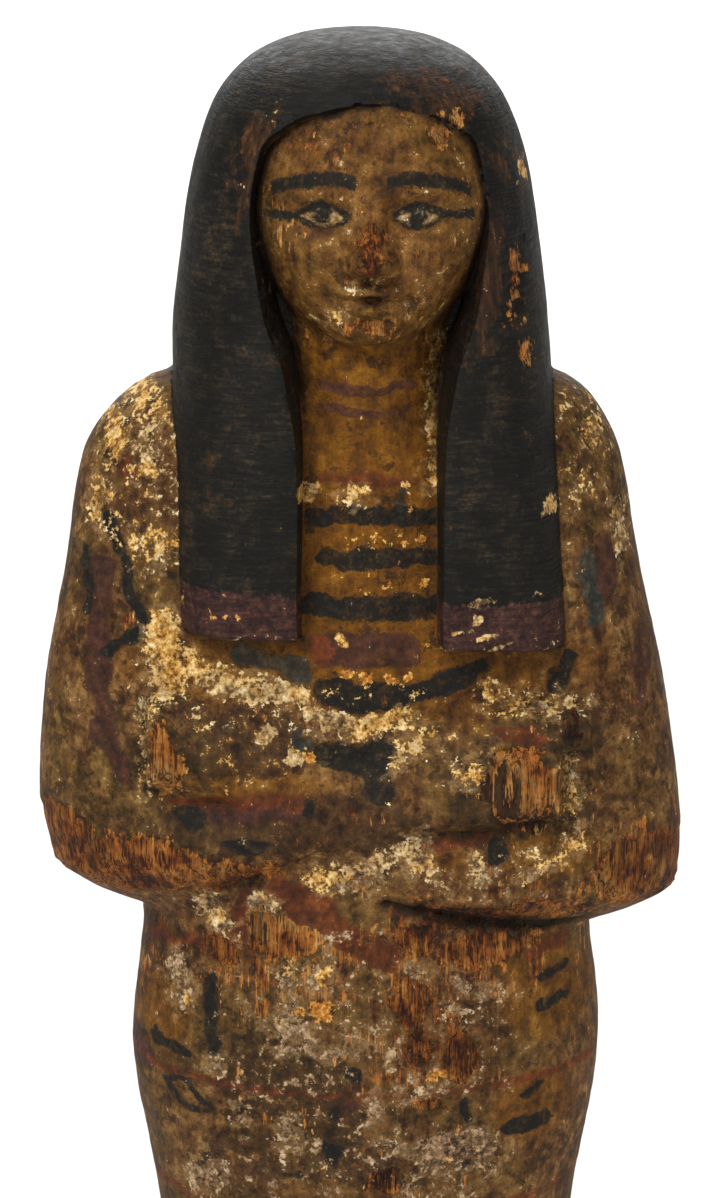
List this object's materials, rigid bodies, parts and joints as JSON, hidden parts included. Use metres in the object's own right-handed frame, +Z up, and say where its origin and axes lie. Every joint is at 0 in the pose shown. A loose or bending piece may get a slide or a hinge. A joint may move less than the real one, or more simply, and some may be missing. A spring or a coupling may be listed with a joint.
{
  "type": "ushabti figurine",
  "caption": "Mummy-shaped painted wooden tomb figurine with a long wig and crossed forearms, standing upright on a low rectangular base.",
  "frame": {"origin": "middle of the base's underside, on the surface that the figurine stands on", "axes": "+Z up from the base to the top of the wig, the face looks along -Y, and the figure's right side is on -X"},
  "size_m": [0.0684, 0.066, 0.233],
  "materials": {
    "painted_wood": "old paint over white plaster, worn and flaked, satin varnish",
    "plain_wood": "dark old wood, dull, with traces of plaster"
  },
  "bodies": {
    "root": {"figure": "painted_wood", "base": "plain_wood"}
  },
  "joints": []
}
